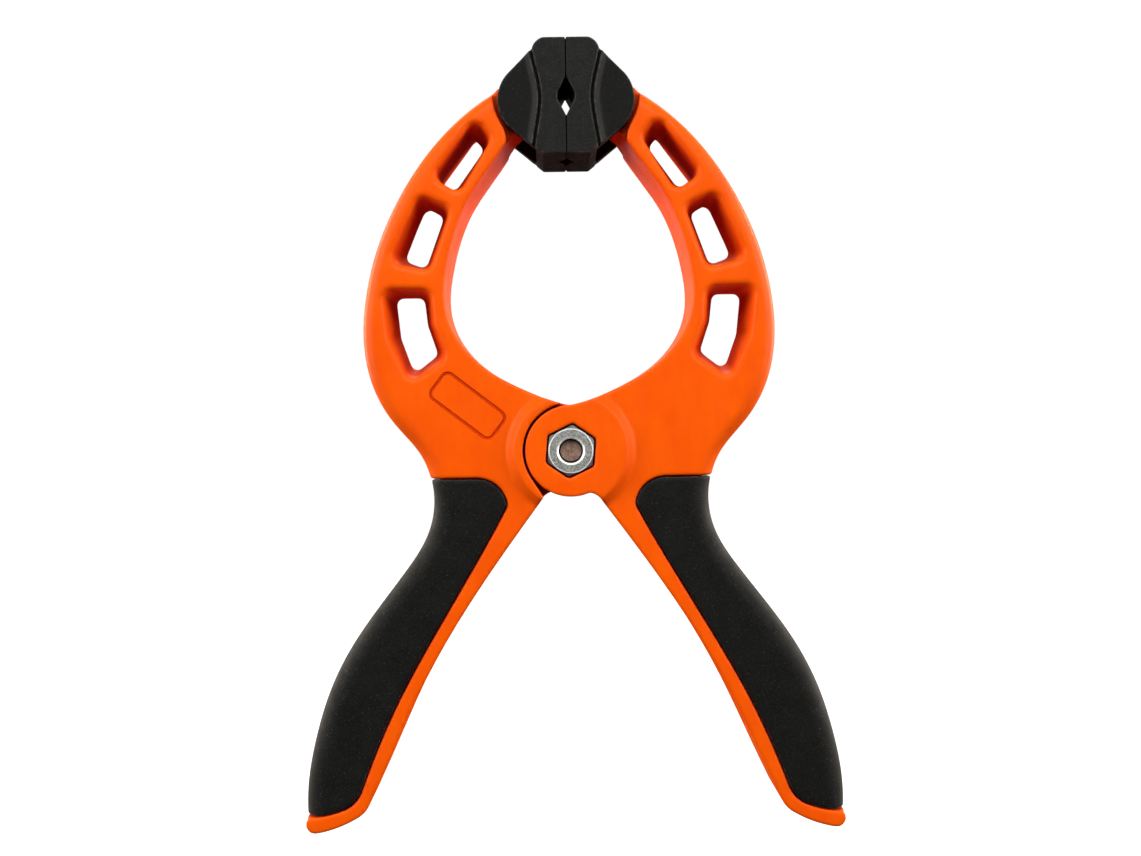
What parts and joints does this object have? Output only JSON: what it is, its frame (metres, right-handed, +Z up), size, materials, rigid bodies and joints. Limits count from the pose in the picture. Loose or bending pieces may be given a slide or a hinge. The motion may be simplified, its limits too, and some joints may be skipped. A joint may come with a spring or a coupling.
{
  "type": "spring clamp",
  "caption": "Hand spring clamp with two orange nylon halves, soft black grips, swivelling jaw pads and a torsion spring on one pivot bolt.",
  "frame": {"origin": "on the standing surface, below the middle of the closed jaws and midway through the depth", "axes": "+Z up from the handle ends to the jaws, +X to the right half, -Y to the nut side"},
  "size_m": [0.121, 0.0268, 0.1768],
  "materials": {
    "orange_nylon": "satin glass-filled nylon with a fine moulded texture",
    "soft_grip": "matt soft overmoulded elastomer with a fine grain",
    "black_nylon": "fine spark-eroded grain",
    "bolt_steel": "cut end of a plated bolt, slightly brown",
    "nut_steel": "zinc plated, dull grey faces and bright chamfers",
    "bush_nylon": "plain black nylon",
    "spring_steel": "oiled hard-drawn wire"
  },
  "bodies": {
    "left_half": {"left_frame": "orange_nylon", "left_grip": "soft_grip", "pivot_bolt": "bolt_steel", "spring_bush": "bush_nylon", "torsion_spring": "spring_steel"},
    "right_half": {"right_frame": "orange_nylon", "right_grip": "soft_grip", "pivot_nut": "nut_steel"},
    "left_jaw": {"left_jaw_pad": "black_nylon"},
    "right_jaw": {"right_jaw_pad": "black_nylon"}
  },
  "joints": [
    {"name": "main_pivot", "type": "hinge", "parent": "left_half", "child": "right_half", "pos_m": [0, 0, 0.0848], "axis": [0, 1, 0], "range_deg": [0, 37], "stiffness_Nm_per_rad": 1.6, "springref_deg": -51.57, "deforming": ["torsion_spring"]},
    {"name": "left_jaw_swivel", "type": "hinge", "parent": "left_half", "child": "left_jaw", "pos_m": [-0.0096, 0, 0.1631], "axis": [0, 1, 0], "range_deg": [0, 18.5]},
    {"name": "right_jaw_swivel", "type": "hinge", "parent": "right_half", "child": "right_jaw", "pos_m": [0.0096, 0, 0.1631], "axis": [0, 1, 0], "range_deg": [-18.5, 0]}
  ],
  "couplings": [
    {"joint": "left_jaw_swivel", "follows": "main_pivot", "ratio": 0.5},
    {"joint": "right_jaw_swivel", "follows": "main_pivot", "ratio": -0.5}
  ]
}
